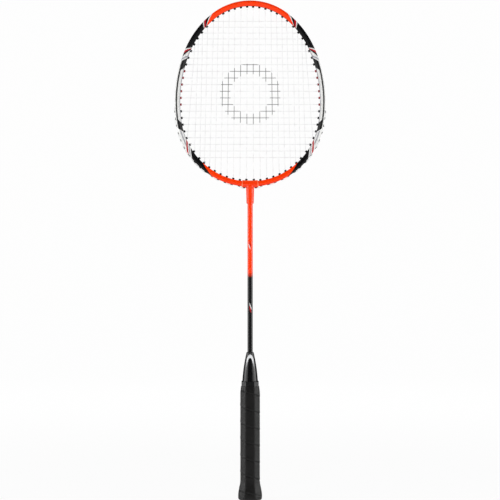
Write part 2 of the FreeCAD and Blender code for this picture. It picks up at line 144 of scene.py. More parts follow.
# Arch on the cone. Each edge has the height of its top, its half-width and the drop in which it
# gets that wide, in millimetres, and the power of its curve. The fade has the height at which the
# arch is gone, the height at which it is full, and its power.
ARCH_OUTSIDE = (197.5, 6.2, 18.0, 0.36)
ARCH_INSIDE = (193.0, 5.0, 18.0, 0.37)
ARCH_FADE = (171.0, 189.0, 3.5)

# Where the wrap's seams fade in and out, in metres.
SEAM_START = 0.004  # height at which they start
SEAM_FADE_BASE = 0.008  # height over which they grow from there
SEAM_FADE_TOP = 0.006  # height over which they shrink up to the wrap's upper edge

# Reading a string's centre line from its surface.
CELL = 0.02 * MM  # grid in which the centres of its rings are gathered
DEPTH_SLACK = 0.03 * MM  # how far off the string's own depth such a centre may lie
NO_CELL = 10**6  # cell of the centres that lie further off
STRAY_VERTICES = 5  # a cell with no more vertices than this starts no ring
RING_CELLS = 2.5  # how many cells apart the centres of one ring may lie
FOLLOWED = 0.9  # least share of the rings that the path has to pass
LONG_RUN = 30 * MM  # least length of a run that crosses the head
PARALLEL = 1e-12  # cross product under which two runs are taken as parallel

# Soft lamps: azimuth and elevation in degrees, distance, width and height in metres, brightness,
# and whether gloss mirrors the lamp.
Lamp = namedtuple("Lamp", "name azimuth elevation distance width height brightness mirrored")
LAMPS = [
    Lamp("box_left", -65, 14, 1.7, 1.5, 1.3, 2.2, True),
    Lamp("edge_left", -88, 6, 1.6, 0.7, 1.0, 2.6, True),
    Lamp("box_right", 65, 14, 1.7, 1.5, 1.3, 2.2, True),
    Lamp("edge_right", 88, 6, 1.6, 0.7, 1.0, 2.6, True),
    Lamp("box_top", 0, 70, 1.6, 1.2, 0.6, 0.4, True),
    Lamp("box_back", 180, 45, 1.9, 1.4, 0.6, 1.2, True),
    Lamp("fill_front", 0, 20, 2.2, 1.6, 1.0, 3.6, False),
    Lamp("fill_back", 180, 20, 2.2, 1.6, 1.0, 3.6, False),
]

# Studio paper. Distances are from the middle of its floor, in millimetres.
WHITENING = (500.0, 1500.0)  # distances between which it turns white
WHITENESS = (0.9, 0.985)  # how far it is white at those distances
MIRRORED_FLOOR = (1000.0, 2600.0)  # distances between which the mirrored floor turns dark
MIRRORED_SIDES = (0.25, 0.6)  # sines of the angles off the sides at which these turn dark
SIDES_START = (1500.0, 500.0)  # middle and half-width of the range in which the sides start
MIRRORED_PALE = 0.75
MIRRORED_DARK = 0.02
AIR_STRENGTH = 0.08

# Camera: focal length and sensor width in millimetres, and how far it stands off the middle of
# the racket, across and up, in metres.
FOCAL_LENGTH = 135
SENSOR_WIDTH = 36
CAMERA_ACROSS = -0.00014
CAMERA_UP = 0.0009


# --- what a user may change ------------------------------------------------------------------


def length(name, description, default):
    """Length property in metres."""
    limits = {"min": 0, "precision": 5, "unit": "LENGTH"}
    return FloatProperty(name=name, description=description, default=default, **limits)


def colour(name, description, default):
    """Linear colour property."""
    limits = {"min": 0, "max": 1, "subtype": "COLOR"}
    return FloatVectorProperty(name=name, description=description, default=default, **limits)


class RacketSizes(bpy.types.PropertyGroup):
    """Sizes of the pieces and effects that are added to the racket."""

    string_gauge: length("String gauge", "Diameter of the string", 0.0007)
    grommet_lip: length("Grommet lip", "How far the lip at each grommet's tip swells", 0.0002)
    grommet_reach: length("Grommet reach", "How far that lip stands in from the solid's", 0.0006)
    weave_height: length("Weave height", "How far a string swings to each side of the bed", 0.00036)
    stencil_outer: length("Stencil outer radius", "Outer radius of the ring on the strings", 0.041)
    stencil_inner: length("Stencil inner radius", "Inner radius of the ring on the strings", 0.027)
    stencil_height: length("Stencil height", "Height of the printed ring's centre", 0.549)
    wrap_thickness: length("Wrap thickness", "Thickness of the cushioned wrap", 0.0016)
    wrap_edge: length("Wrap edge", "Thickness of the wrap where the finishing band starts", 0.0006)
    wrap_lead_in: length("Wrap lead-in", "Height over which the wrap thins to its upper edge", 0.008)
    wrap_pitch: length("Wrap pitch", "Height of one turn of the wrap", 0.0224)
    wrap_overlap: length("Wrap overlap", "Width of the overlap that stands proud at each seam", 0.0045)
    seam_rise: length("Seam rise", "How far the overlap stands proud", 0.0005)
    seam_depth: length("Seam depth", "Depth of the line along each seam", 0.0009)
    seam_width: length("Seam width", "Half-width of the line along each seam", 0.0009)
    seam_height: length("Seam height", "Height of the lowest full seam on the right side", 0.0277)
    butt_flare: length("Butt flare", "How far the butt flares out on each side", 0.0029)
    flare_top: length("Flare top", "Height at which the flare starts", 0.028)
    flare_base: length("Flare base", "Height at which the flare is full", 0.007)
    butt_edge_height: length("Butt edge height", "Height at which the butt's rounded edge starts", 0.005)
    butt_edge_radius: length("Butt edge radius", "Radius of the butt's rounded edge", 0.004)
    handle_bevel: length("Handle bevel", "Width of the cut on each corner of the timber handle", 0.006)
    fade_top: length("Fade top", "Height at which the shaft's orange starts to fade", 0.3085)
    fade_base: length("Fade base", "Height at which the shaft is black", 0.3012)


class RacketColours(bpy.types.PropertyGroup):
    """Colours of the racket and its studio."""

    orange: colour("Orange", "Main lacquer", (0.97, 0.043, 0.0))
    black: colour("Black", "Black lacquer", (0.002, 0.002, 0.0024))
    red: colour("Red", "Red slashes", (0.42, 0.004, 0.01))
    silver: colour("Silver", "Pale panels", (0.7, 0.7, 0.685))
    # Grey of the printed stripes, also used for the painted shade along the rim's inner edge.
    grey: colour("Grey", "Grey stripes", (0.32, 0.32, 0.35))
    # Pale colour of the sleeve's ends, also used for the painted highlight along its top.
    seam: colour("Seam", "Pale line at the edges of the throat sleeve", (1.0, 0.42, 0.2))
    string: colour("String", "Nylon string", (0.93, 0.93, 0.93))
    stencil: colour("Stencil", "Ink on the strings", (0.004, 0.004, 0.004))
    grommet_black: colour("Black grommets", "Black nylon", (0.003, 0.003, 0.0035))
    grommet_red: colour("Red grommets", "Red nylon", (0.27, 0.003, 0.008))
    grip: colour("Grip", "Cushioned wrap", (0.003, 0.0026, 0.0023))
    plastic: colour("Black plastic", "Cone and end disc", (0.003, 0.003, 0.0035))
    arch: colour("Arch", "Plain arch on the cone", (0.68, 0.69, 0.7))
    insert: colour("Insert", "Insert inside the throat", (0.03, 0.03, 0.03))
    cap: colour("Cap", "Butt cap under the wrap", (0.01, 0.01, 0.01))
    timber: colour("Timber", "Handle core", (0.48, 0.27, 0.11))
    steel: colour("Steel", "Staples", (0.55, 0.55, 0.56))
    studio: colour("Studio", "Floor and backdrop", (0.92, 0.92, 0.92))
    air: colour("Air", "Faint light from all round", (0.95, 0.97, 1.0))


def sizes():
    """The sizes now set."""
    return bpy.context.scene.racket_sizes


def paint(name):
    """One of the colours now set, with full alpha."""
    return (*getattr(bpy.context.scene.racket_colours, name), 1.0)


def darker(tint, share):
    """A colour at a share of its brightness, with full alpha."""
    return (*(c * share for c in tint[:3]), 1.0)


def new_object(name, data):
    """Object in the scene for a mesh, curve, lamp or camera."""
    made = bpy.data.objects.new(name, data)
    bpy.context.scene.collection.objects.link(made)
    return made


# --- shader building -------------------------------------------------------------------------


class Wiring:
    """Adds nodes to one tree and joins them up."""

    def __init__(self, tree):
        self.tree = tree

    def add(self, kind, **settings):
        node = self.tree.nodes.new("ShaderNode" + kind)
        for key, value in settings.items():
            setattr(node, key, value)
        return node

    def put(self, socket, value):
        if isinstance(value, bpy.types.NodeSocket):
            self.tree.links.new(value, socket)
        else:
            socket.default_value = value

    def math(self, operation, *values, clamp=False):
        node = self.add("Math", operation=operation, use_clamp=clamp)
        for socket, value in zip(node.inputs, values):
            self.put(socket, value)
        return node.outputs[0]

    def blend(self, share, first, second):
        """Between two numbers."""
        node = self.add("Mix", data_type="FLOAT")
        for number, value in ((0, share), (2, first), (3, second)):
            self.put(node.inputs[number], value)
        return node.outputs[0]

    def mix(self, share, first, second):
        """Between two colours."""
        node = self.add("Mix", data_type="RGBA")
        for number, value in ((0, share), (6, first), (7, second)):
            self.put(node.inputs[number], value)
        return node.outputs[2]

    def ramp(self, value, low, high, start=0.0, end=1.0):
        """Straight change from start to end as value goes from low to high."""
        node = self.add("MapRange", clamp=True)
        for socket, number in zip(node.inputs, (value, low, high, start, end)):
            self.put(socket, number)
        return node.outputs[0]

    def past(self, value, edge, softness=0.12):
        """Mask that is 1 where value is past edge."""
        gap = self.math("SUBTRACT", value, edge)
        return self.ramp(gap, -softness, softness)

    def within(self, value, low, high, softness=0.12):
        """Mask that is 1 where value is between low and high."""
        inside = self.math("SUBTRACT", 1.0, self.past(value, high, softness))
        return self.math("MULTIPLY", self.past(value, low, softness), inside)

    def both(self, *masks):
        result = masks[0]
        for mask in masks[1:]:
            result = self.math("MULTIPLY", result, mask)
        return result

    def either(self, *masks):
        result = masks[0]
        for mask in masks[1:]:
            result = self.math("MAXIMUM", result, mask)
        return result

    def place(self):
        """Position on the racket in millimetres: across, towards the back, and up."""
        scaled = self.add("VectorMath", operation="SCALE")
        self.put(scaled.inputs[0], self.add("TexCoord").outputs["Object"])
        self.put(scaled.inputs["Scale"], 1 / MM)
        split = self.add("SeparateXYZ")
        self.put(split.inputs[0], scaled.outputs[0])
        return split.outputs[:]

    def noise(self, scale, detail=2.0, roughness=0.5, vector=None):
        """Noise over the object's own space, or over vector, scale per metre."""
        if vector is None:
            vector = self.add("TexCoord").outputs["Object"]
        node = self.add("TexNoise")
        self.put(node.inputs["Vector"], vector)
        for name, value in (("Scale", scale), ("Detail", detail), ("Roughness", roughness)):
            self.put(node.inputs[name], value)
        return node.outputs["Fac"]

    def group(self, tree, **values):
        node = self.add("Group", node_tree=tree)
        for name, value in values.items():
            self.put(node.inputs[name.replace("_", " ")], value)
        return node

    def bump(self, height, distance, strength=1.0):
        node = self.add("Bump")
        for name, value in (("Height", height), ("Distance", distance), ("Strength", strength)):
            self.put(node.inputs[name], value)
        return node.outputs[0]


def shared_effect(name, inputs, outputs):
    """Empty node group with named number inputs and outputs, and the wiring inside it."""
    tree = bpy.data.node_groups.new(name, "ShaderNodeTree")
    for label, default in inputs.items():
        socket = tree.interface.new_socket(label, in_out="INPUT", socket_type="NodeSocketFloat")
        socket.default_value = default
    for label in outputs:
        tree.interface.new_socket(label, in_out="OUTPUT", socket_type="NodeSocketFloat")
    wiring = Wiring(tree)
    given = wiring.tree.nodes.new("NodeGroupInput")
    result = wiring.tree.nodes.new("NodeGroupOutput")
    return wiring, given.outputs, result.inputs


def once(build):
    """Builds a node group the first time that it is asked for."""
    kept = []

    def built():
        if not kept:
            kept.append(build())
        return kept[0]

    return built


@once
def rim_position():
    """Millimetres along the rim from the top of the head, and in from its outer edge."""
    w, _, result = shared_effect("Rim position", {}, ("Along", "Inset"))
    x, _, z = w.place()
    across = w.math("ABSOLUTE", x)
    along = inset = None
    start = 0.0
    for centre_x, centre_z, radius, first, last in RIM_ARCS:
        dx = w.math("SUBTRACT", across, centre_x)
        dz = w.math("SUBTRACT", z, centre_z)
        reach = w.math("SQRT", w.math("ADD", w.math("MULTIPLY", dx, dx), w.math("MULTIPLY", dz, dz)))
        turned = w.math("SUBTRACT", radians(first), w.math("ARCTAN2", dz, dx))
        here = w.math("ADD", w.math("MULTIPLY", turned, radius), start)
        depth = w.math("SUBTRACT", radius, reach)
        if along is None:
            along, inset = here, depth
        else:
            mask = w.math("GREATER_THAN", turned, 0.0)
            along = w.blend(mask, along, here)
            inset = w.blend(mask, inset, depth)
        start += radius * radians(first - last)
    w.put(result["Along"], along)
    w.put(result["Inset"], inset)
    return w.tree


@once
def lacquer_flow():
    """Slow waves left by sprayed lacquer, and faint rub marks in its gloss."""
    inputs = {"Wave scale": 260.0, "Gloss": 0.2, "Rub": 0.08}
    w, given, result = shared_effect("Lacquer flow", inputs, ("Height", "Roughness", "Drift"))
    w.put(result["Height"], w.noise(given["Wave scale"], detail=1.0))
    smear = w.ramp(w.noise(95.0, detail=4.0, roughness=0.6), 0.42, 0.72)
    rubbed = w.math("MULTIPLY", smear, given["Rub"])
    w.put(result["Roughness"], w.math("ADD", given["Gloss"], rubbed))
    w.put(result["Drift"], w.ramp(w.noise(60.0, detail=3.0), 0.35, 0.65))
    return w.tree


@once
def moulded_grain():
    """Fine grain of moulded plastic, and the faint mottle that it gives the colour."""
    w, given, result = shared_effect("Moulded grain", {"Grain scale": 2600.0}, ("Height", "Mottle"))
    w.put(result["Height"], w.noise(given["Grain scale"], detail=3.0, roughness=0.6))
    w.put(result["Mottle"], w.ramp(w.noise(180.0), 0.3, 0.7))
    return w.tree


def new_material(name):
    """Material with one Principled BSDF, and the wiring of its tree."""
    material = bpy.data.materials.new(name)
    material.use_nodes = True
    shader = material.node_tree.nodes["Principled BSDF"]
    return material, Wiring(material.node_tree), shader


def finish_shader(w, shader, links, constants):
    """Joins what changes over the surface and sets what doesn't."""
    for name, value in links.items():
        w.put(shader.inputs[name], value)
    for name, value in constants.items():
        shader.inputs[name].default_value = value


def lacquered(name, colour_of, gloss=0.2, specular=0.2, drift=0.94):
    """Gloss lacquer over a colour that colour_of(wiring) gives, a shade darker where it drifts."""
    material, w, shader = new_material(name)
    flow = w.group(lacquer_flow(), Gloss=gloss)
    shade = colour_of(w)
    deeper = w.add("VectorMath", operation="SCALE")
    w.put(deeper.inputs[0], shade)
    deeper.inputs["Scale"].default_value = drift
    links = {
        "Base Color": w.mix(flow.outputs["Drift"], deeper.outputs[0], shade),
        "Roughness": flow.outputs["Roughness"],
        "Normal": w.bump(flow.outputs["Height"], 0.00006),
    }
    constants = {"Specular IOR Level": specular, "Coat Weight": 0.1, "Coat Roughness": 0.06}
    finish_shader(w, shader, links, constants)
    return material


def moulded(name, tint, roughness, grain=2600.0, depth=0.00004, specular=0.25, colour_of=None):
    """Moulded plastic or nylon: fine grain and a faint mottle."""
    material, w, shader = new_material(name)
    grained = w.group(moulded_grain(), Grain_scale=grain)
    plain = w.mix(grained.outputs["Mottle"], darker(tint, 0.8), tint)
    links = {
        "Base Color": colour_of(w, plain) if colour_of else plain,
        "Roughness": w.ramp(grained.outputs["Height"], 0.3, 0.7, roughness - 0.06, roughness + 0.06),
        "Normal": w.bump(grained.outputs["Height"], depth),
    }
    finish_shader(w, shader, links, {"Specular IOR Level": specular})
    return material


# --- materials of this racket ----------------------------------------------------------------


def cut(w, along, inset, outer, inner):
    """Mask that is 1 past a slanted cut across the rim."""
    edge = w.math("MULTIPLY_ADD", inset, (inner - outer) / RIM_WIDTH, outer)
    return w.past(along, edge, softness=0.25)


def rim_colour(w):
    """Rim livery and painted inner-edge shade, the same on both faces and mirrored left to right."""
    rim = w.group(rim_position())
    along = rim.outputs["Along"]
    inset = rim.outputs["Inset"]
    shade = paint("orange")
    for outer, inner, name in LIVERY:
        shade = w.mix(cut(w, along, inset, outer, inner), shade, paint(name))

    def between(first, last):
        after = cut(w, along, inset, *first)
        before = w.math("SUBTRACT", 1.0, cut(w, along, inset, *last))
        return w.both(after, before)

    # The first grey mark is a printed stripe; the second is painted shade along the rim's inner edge.
    for first, last, band in GREY_STRIPE_AND_EDGE_SHADE:
        grey_mark = w.both(between(first, last), w.within(inset, *band, softness=0.3))
        shade = w.mix(grey_mark, shade, paint("grey"))
    panel = between(UPPER_BLOCK[0], LOWER_BLOCK[1])
    line = w.both(panel, w.within(inset, *RIDGE_BAND, softness=0.2))
    blocks = w.either(between(*UPPER_BLOCK), between(*LOWER_BLOCK))
    blocks = w.both(blocks, w.past(inset, BLOCK_START, softness=0.2))
    return w.mix(w.either(line, blocks), shade, paint("black"))


def sleeve_colour(w):
    """Orange, with a pale line where the sleeve ends on the rim and a faint painted highlight along its
    top.
    """
    x, _, z = w.place()
    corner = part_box("throat_sleeve")[1] / MM
    ends = w.past(w.math("ABSOLUTE", x), corner.x - SLEEVE_END)
    # Painted highlight: a faint pale band along the top edge, where light catches the sleeve.
    top_highlight = w.math("MULTIPLY", w.past(z, corner.z - SLEEVE_TOP_HIGHLIGHT, softness=0.4), TOP_HIGHLIGHT_SHARE)
    return w.mix(w.either(ends, top_highlight), paint("orange"), paint("seam"))


def slash(w, x, z, middle, height, width, slant):
    """Mask of a slanted leaf shape round a height on the shaft."""
    up = w.math("DIVIDE", w.math("SUBTRACT", z, middle), height / 2)
    swell = w.math("MULTIPLY", w.math("SUBTRACT", 1.0, w.math("MULTIPLY", up, up)), width / 2)
    centre = w.math("MULTIPLY", up, -slant)
    off = w.math("ABSOLUTE", w.math("SUBTRACT", x, centre))
    return w.past(w.math("SUBTRACT", swell, off), 0.0, softness=0.1)


def shaft_colour(w):
    """Orange above, black below, with a short fade and two pairs of slashes."""
    x, _, z = w.place()
    s = sizes()
    fade = w.ramp(z, s.fade_base / MM, s.fade_top / MM)
    shade = w.mix(fade, paint("black"), paint("orange"))
    for across, *shape, name in SLASHES:
        off = w.math("SUBTRACT", x, across)
        shade = w.mix(slash(w, off, z, *shape), shade, paint(name))
    return shade


def cone_colour(w, plain):
    """Black, with a plain arch on the front and the back that fades down its legs."""
    x, y, z = w.place()
    across = w.math("ABSOLUTE", x)

    def arch(apex, half_width, drop, power):
        fall = w.math("MAXIMUM", w.math("DIVIDE", w.math("SUBTRACT", apex, z), drop), 0.0)
        return w.math("MULTIPLY", w.math("POWER", fall, power), half_width)

    outside = w.math("SUBTRACT", arch(*ARCH_OUTSIDE), across)
    inside = w.math("SUBTRACT", across, arch(*ARCH_INSIDE))
    outline = w.either(w.past(inside, 0.0, softness=0.25), w.past(z, ARCH_INSIDE[0], softness=0.2))
    band = w.both(w.past(outside, 0.0, softness=0.25), outline)
    face = w.past(w.math("ABSOLUTE", y), 1.0)
    low, high, power = ARCH_FADE
    fade = w.math("POWER", w.ramp(z, low, high), power)
    return w.mix(w.both(band, face, fade), plain, paint("arch"))


def ring_on_strings(w, plain):
    """Nylon, with a plain ring of ink."""
    x, _, z = w.place()
    s = sizes()
    up = w.math("SUBTRACT", z, s.stencil_height / MM)
    reach = w.math("SQRT", w.math("ADD", w.math("MULTIPLY", x, x), w.math("MULTIPLY", up, up)))
    ring = w.within(reach, s.stencil_inner / MM, s.stencil_outer / MM, softness=0.4)
    return w.mix(ring, plain, paint("stencil"))


def timber_material():
    """Light timber with grain along the handle."""
    material, w, shader = new_material("timber_grained")
    stretch = w.add("VectorMath", operation="MULTIPLY")
    w.put(stretch.inputs[0], w.add("TexCoord").outputs["Object"])
    stretch.inputs[1].default_value = (1.0, 1.0, 0.06)
    grain = w.noise(900.0, detail=4.0, vector=stretch.outputs[0])
    tint = paint("timber")
    links = {
        "Base Color": w.mix(w.ramp(grain, 0.35, 0.65), darker(tint, 0.6), tint),
        "Roughness": w.ramp(grain, 0.3, 0.7, 0.6, 0.75),
        "Normal": w.bump(grain, 0.00008),
    }
    finish_shader(w, shader, links, {"Specular IOR Level": 0.3})
    return material


def staple_material():
    """Drawn steel wire with fine lines."""
    material, w, shader = new_material("staple_drawn_steel")
    grained = w.group(moulded_grain(), Grain_scale=5200.0)
    tint = paint("steel")
    links = {
        "Base Color": w.mix(grained.outputs["Mottle"], darker(tint, 0.8), tint),
        "Roughness": w.ramp(grained.outputs["Height"], 0.3, 0.7, 0.25, 0.4),
        "Normal": w.bump(grained.outputs["Height"], 0.00002),
    }
    finish_shader(w, shader, links, {"Metallic": 1.0})
    return material


def grip_material():
    """Matt synthetic leather: small cells, soft creases with painted shade, a slight shine on ridges."""
    material, w, shader = new_material("grip_leather")
    cells = w.add("TexVoronoi", feature="DISTANCE_TO_EDGE")
    w.put(cells.inputs["Vector"], w.add("TexCoord").outputs["Object"])
    cells.inputs["Scale"].default_value = 1500.0
    pores = w.ramp(cells.outputs["Distance"], 0.0, 0.25)
    creases = w.noise(320.0, detail=4.0, roughness=0.6)
    height = w.math("ADD", w.math("MULTIPLY", pores, 0.5), creases)
    tint = paint("grip")
    links = {
        # Painted shade: the colour darkens where the creases sink.
        "Base Color": w.mix(w.ramp(creases, 0.3, 0.7), darker(tint, 0.75), tint),
        "Roughness": w.ramp(height, 0.4, 1.2, 0.42, 0.32),
        "Normal": w.bump(height, 0.00012),
    }
    finish_shader(w, shader, links, {"Specular IOR Level": 0.34})
    return material


def dress(material, *names):
    """Gives CAD nodes a finished material."""
    for name in names:
        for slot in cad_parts[name].material_slots:
            slot.material = material


# --- grommets --------------------------------------------------------------------------------


def rim_inset(x, z):
    """Millimetres in from the rim's outer edge at a point, and the way in from there."""
    found = None
    for centre_x, centre_z, radius, first, _ in RIM_ARCS:
        dx, dz = abs(x) / MM - centre_x, z / MM - centre_z
        if found is None or atan2(dz, dx) < radians(first):
            reach = hypot(dx, dz)
            inward = Vector((-dx / reach if x > 0 else dx / reach, 0, -dz / reach))
            found = radius - reach, inward
    return found


def lipped_grommets(name, material):
    """Grommets whose tips swell into a soft lip inside the head."""
    swell, reach = sizes().grommet_lip, sizes().grommet_reach
    solid = bmesh.new()
    solid.from_mesh(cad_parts[name].data)
    bmesh.ops.remove_doubles(solid, verts=solid.verts, dist=WELD)
    solid.normal_update()
    for vertex in solid.verts:
        inset, inward = rim_inset(vertex.co.x, vertex.co.z)
        if inset > RIM_WIDTH + TIP_START:
            vertex.co += vertex.normal * swell + inward * reach
    mesh = bpy.data.meshes.new("lipped_" + name)
    solid.to_mesh(mesh)
    solid.free()
    if "custom_normal" in mesh.attributes:
        mesh.attributes.remove(mesh.attributes["custom_normal"])
    mesh.shade_smooth()
    mesh.set_sharp_from_angle(angle=radians(SHARP_ANGLE))
    mesh.materials.clear()
    mesh.materials.append(material)
    return new_object(mesh.name, mesh)


# --- strings ---------------------------------------------------------------------------------


def ring_centres(mesh, gauge):
    """Centre of the string's section under each vertex of its surface."""
    places = np.empty(len(mesh.vertices) * 3, np.float32)
    mesh.vertices.foreach_get("co", places)
    places = places.reshape(-1, 3)
    corner_vertex = np.empty(len(mesh.loops), np.int32)
    mesh.loops.foreach_get("vertex_index", corner_vertex)
    normals = np.empty(len(mesh.loops) * 3, np.float32)
    mesh.corner_normals.foreach_get("vector", normals)
    centres = np.empty_like(places)
    centres[corner_vertex] = places[corner_vertex] - normals.reshape(-1, 3) * (gauge / 2)
    return centres


def gathered_rings(cells):
    """Distinct cells, and for each vertex the number of the cell that stands for its ring."""
    spots, spot_of, count = np.unique(cells, axis=0, return_inverse=True, return_counts=True)
    tree = KDTree(len(spots))
    for index, spot in enumerate(spots):
        tree.insert((*spot, 0), index)
    tree.balance()
    ring_of = np.full(len(spots), -1)
    for index in np.argsort(-count, kind="stable"):
        if ring_of[index] < 0 and count[index] > STRAY_VERTICES and spots[index][0] < NO_CELL:
            for _, near, _ in tree.find_range((*spots[index], 0), RING_CELLS):
                if ring_of[near] < 0:
                    ring_of[near] = index
    return spots, ring_of[spot_of.reshape(-1)]


def joined_rings(mesh, ring):
    """The rings that the mesh's edges join to each ring."""
    ends = np.empty(len(mesh.edges) * 2, np.int32)
    mesh.edges.foreach_get("vertices", ends)
    pairs = ring[ends.reshape(-1, 2)]
    between = (pairs >= 0).all(1) & (pairs[:, 0] != pairs[:, 1])
    joined = {}
    for a, b in np.unique(pairs[between], axis=0):
        joined.setdefault(a, set()).add(b)
        joined.setdefault(b, set()).add(a)
    return joined


def string_path(name, gauge):
    """Centre line of a CAD string: its bends in order from one end, across and up, and its depth."""
    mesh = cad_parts[name].data
    centres = ring_centres(mesh, gauge)
    level = float(np.median(centres[:, 1]))
    cells = np.round(centres[:, (0, 2)] / CELL).astype(int)
    cells[np.abs(centres[:, 1] - level) > DEPTH_SLACK] = NO_CELL
    spots, ring = gathered_rings(cells)
    joined = joined_rings(mesh, ring)
    here = min(joined, key=lambda r: (len(joined[r]), tuple(spots[r])))
    path = [here]
    seen = {here}
    while True:
        ahead = [r for r in joined[here] if r not in seen]
        if not ahead:
            break
        here = min(ahead, key=lambda r: float(((spots[r] - spots[here]) ** 2).sum()))
        seen.add(here)
        path.append(here)
    if len(path) < FOLLOWED * len(joined):
        raise RuntimeError(f"{name}: followed through {len(path)} of {len(joined)} rings")
    return [spots[r] * CELL for r in path], level


def long_runs(path):
    """Indexes of the runs that cross the head, in the order of the path."""
    return [i for i in range(len(path) - 1) if hypot(*(path[i + 1] - path[i])) > LONG_RUN]


def crossing(start, end, other_start, other_end):
    """Share of the run from start to end at which it meets the other run, or None."""
    run = end - start
    other = other_end - other_start
    scale = run[0] * other[1] - run[1] * other[0]
    if abs(scale) < PARALLEL:
        return None
    gap = other_start - start
    share = (gap[0] * other[1] - gap[1] * other[0]) / scale
    other_share = (gap[0] * run[1] - gap[1] * run[0]) / scale
    return share if 0 < share < 1 and 0 < other_share < 1 else None


def ranks(path, runs, axis):
    """Place of each run in the string bed, counted along an axis."""
    order = sorted(runs, key=lambda i: path[i][axis] + path[i + 1][axis])
    return {run: place for place, run in enumerate(order)}


def woven_points(path, level, rank, other_path, other_rank, side, smoothness=4):
    """Points of a string that goes over and under the other one."""
    swing = sizes().weave_height
    points = [Vector((path[0][0], level, path[0][1]))]
    for i in range(len(path) - 1):
        start, end = path[i], path[i + 1]
        stops = [(0.0, level)]
        if i in rank:
            meets = []
            for j, place in other_rank.items():
                share = crossing(start, end, other_path[j], other_path[j + 1])
                if share is not None:
                    meets.append((share, side * swing * (-1) ** (rank[i] + place)))
            stops += sorted(meets)
        stops.append((1.0, level))
        for (low, depth), (high, next_depth) in zip(stops, stops[1:]):
            steps = smoothness if i in rank else 1
            for step in range(1, steps + 1):
                share = step / steps
                ease = (1 - cos(pi * share)) / 2
                x, z = start + (end - start) * (low + (high - low) * share)
                points.append(Vector((x, depth + (next_depth - depth) * ease, z)))
    return points


def string_tube(name, points, gauge, material):
    """Round string along points, as a mesh."""
    curve = bpy.data.curves.new(name, "CURVE")
    curve.dimensions = "3D"
    curve.bevel_depth = gauge / 2
    curve.bevel_resolution = 2
    curve.use_fill_caps = True
    spline = curve.splines.new("POLY")
    spline.points.add(len(points) - 1)
    for point, place in zip(spline.points, points):
        point.co = (*place, 1)
    route = new_object(name + "_route", curve)
    mesh = bpy.data.meshes.new_from_object(route.evaluated_get(bpy.context.evaluated_depsgraph_get()))
    bpy.data.objects.remove(route)
    mesh.materials.clear()
    mesh.materials.append(material)
    mesh.shade_smooth()
    return new_object(name, mesh)


# --- grip ------------------------------------------------------------------------------------


def wrap_outset(height, thickness):
    """How far the wrap's surface stands outside the timber handle, at a height."""
    s = sizes()
    if height < s.butt_edge_height:
        radius = s.butt_edge_radius - s.wrap_thickness + thickness
        fall = min(s.butt_edge_height - height, radius)
        return s.butt_flare + thickness - radius + sqrt(radius * radius - fall * fall)
    if height < s.flare_top:
        share = max(0.0, (height - s.flare_base) / (s.flare_top - s.flare_base))
        return s.butt_flare * (1 + cos(pi * share)) / 2 + thickness
    thin = max(0.0, (height - WRAP_TOP + s.wrap_lead_in) / s.wrap_lead_in)
    return thickness - thin * min(thickness, s.wrap_thickness - s.wrap_edge)


def soft_octagon(outset, height, count, lift=None, sharpness=24):
    """Ring of the handle's rounded octagon, moved outwards."""
    s = sizes()
    half_x = HANDLE.x + outset
    half_y = HANDLE.y + outset
    diagonal = half_x + half_y - s.handle_bevel - outset * (2 - sqrt(2))
    ring = []
    for step in range(count):
        angle = 2 * pi * step / count
        c, t = abs(cos(angle)), abs(sin(angle))
        facets = (c / half_x, t / half_y, (c + t) / diagonal)
        reach = sum(facet**sharpness for facet in facets) ** (-1 / sharpness)
        if lift:
            reach += lift(angle, height)
        ring.append((reach * cos(angle), reach * sin(angle), height))
    return ring


def seam_lift(angle, height):
    """Spiral seam of the wrap: a proud overlap above it and a line along it."""
    s = sizes()
    turned = (angle + pi) % (2 * pi) - pi
    above = (height - s.seam_height + s.wrap_pitch * turned / (2 * pi)) % s.wrap_pitch
    nearest = min(above, s.wrap_pitch - above)
    overlap = s.seam_rise * max(0.0, 1 - above / s.wrap_overlap) ** 1.5
    line = s.seam_depth * exp(-((nearest / s.seam_width) ** 2))
    from_top = max(0.0, (WRAP_TOP - height) / SEAM_FADE_TOP)
    from_base = max(0.0, (height - SEAM_START) / SEAM_FADE_BASE)
    return (overlap - line) * min(1.0, from_top, from_base)


def grip_mesh(count=112, step=0.00045, gap=0.00005, levels_inside=40):
    """Closed sleeve: up the outside of the wrap, and down the inside, a gap off the handle."""
    s = sizes()
    rings = []
    levels = round((WRAP_TOP - WRAP_BASE) / step)
    for level in range(levels + 1):
        height = WRAP_BASE + (WRAP_TOP - WRAP_BASE) * level / levels
        rings.append(soft_octagon(wrap_outset(height, s.wrap_thickness), height, count, seam_lift))
    opening = wrap_outset(WRAP_BASE, s.wrap_thickness)
    floor = s.butt_edge_height - (s.butt_edge_radius - s.wrap_thickness + gap)
    for level in range(levels_inside + 1):
        height = WRAP_TOP + (floor - WRAP_TOP) * level / levels_inside
        rings.append(soft_octagon(max(0.0, wrap_outset(height, gap)), height, count))
    rings.append(soft_octagon(opening, floor, count))
    vertices = [place for ring in rings for place in ring]
    faces = []
    total = len(rings)
    for r in range(total):
        here = r * count
        there = (r + 1) % total * count
        for a in range(count):
            b = (a + 1) % count
            faces.append((here + a, here + b, there + b, there + a))
    mesh = bpy.data.meshes.new("grip_wound")
    mesh.from_pydata(vertices, [], faces)
    mesh.validate()
    mesh.shade_smooth()
    return mesh


# --- operators -------------------------------------------------------------------------------


class RACKET_OT_head_frame(bpy.types.Operator):
    """Lacquer the head frame in its livery, with painted shade along the rim's inner edge"""

    bl_idname = "racket.head_frame"
    bl_label = "Head frame"

    def execute(self, context):
        dress(lacquered("frame_livery_and_edge_shade", rim_colour), "head_frame")
        return {"FINISHED"}


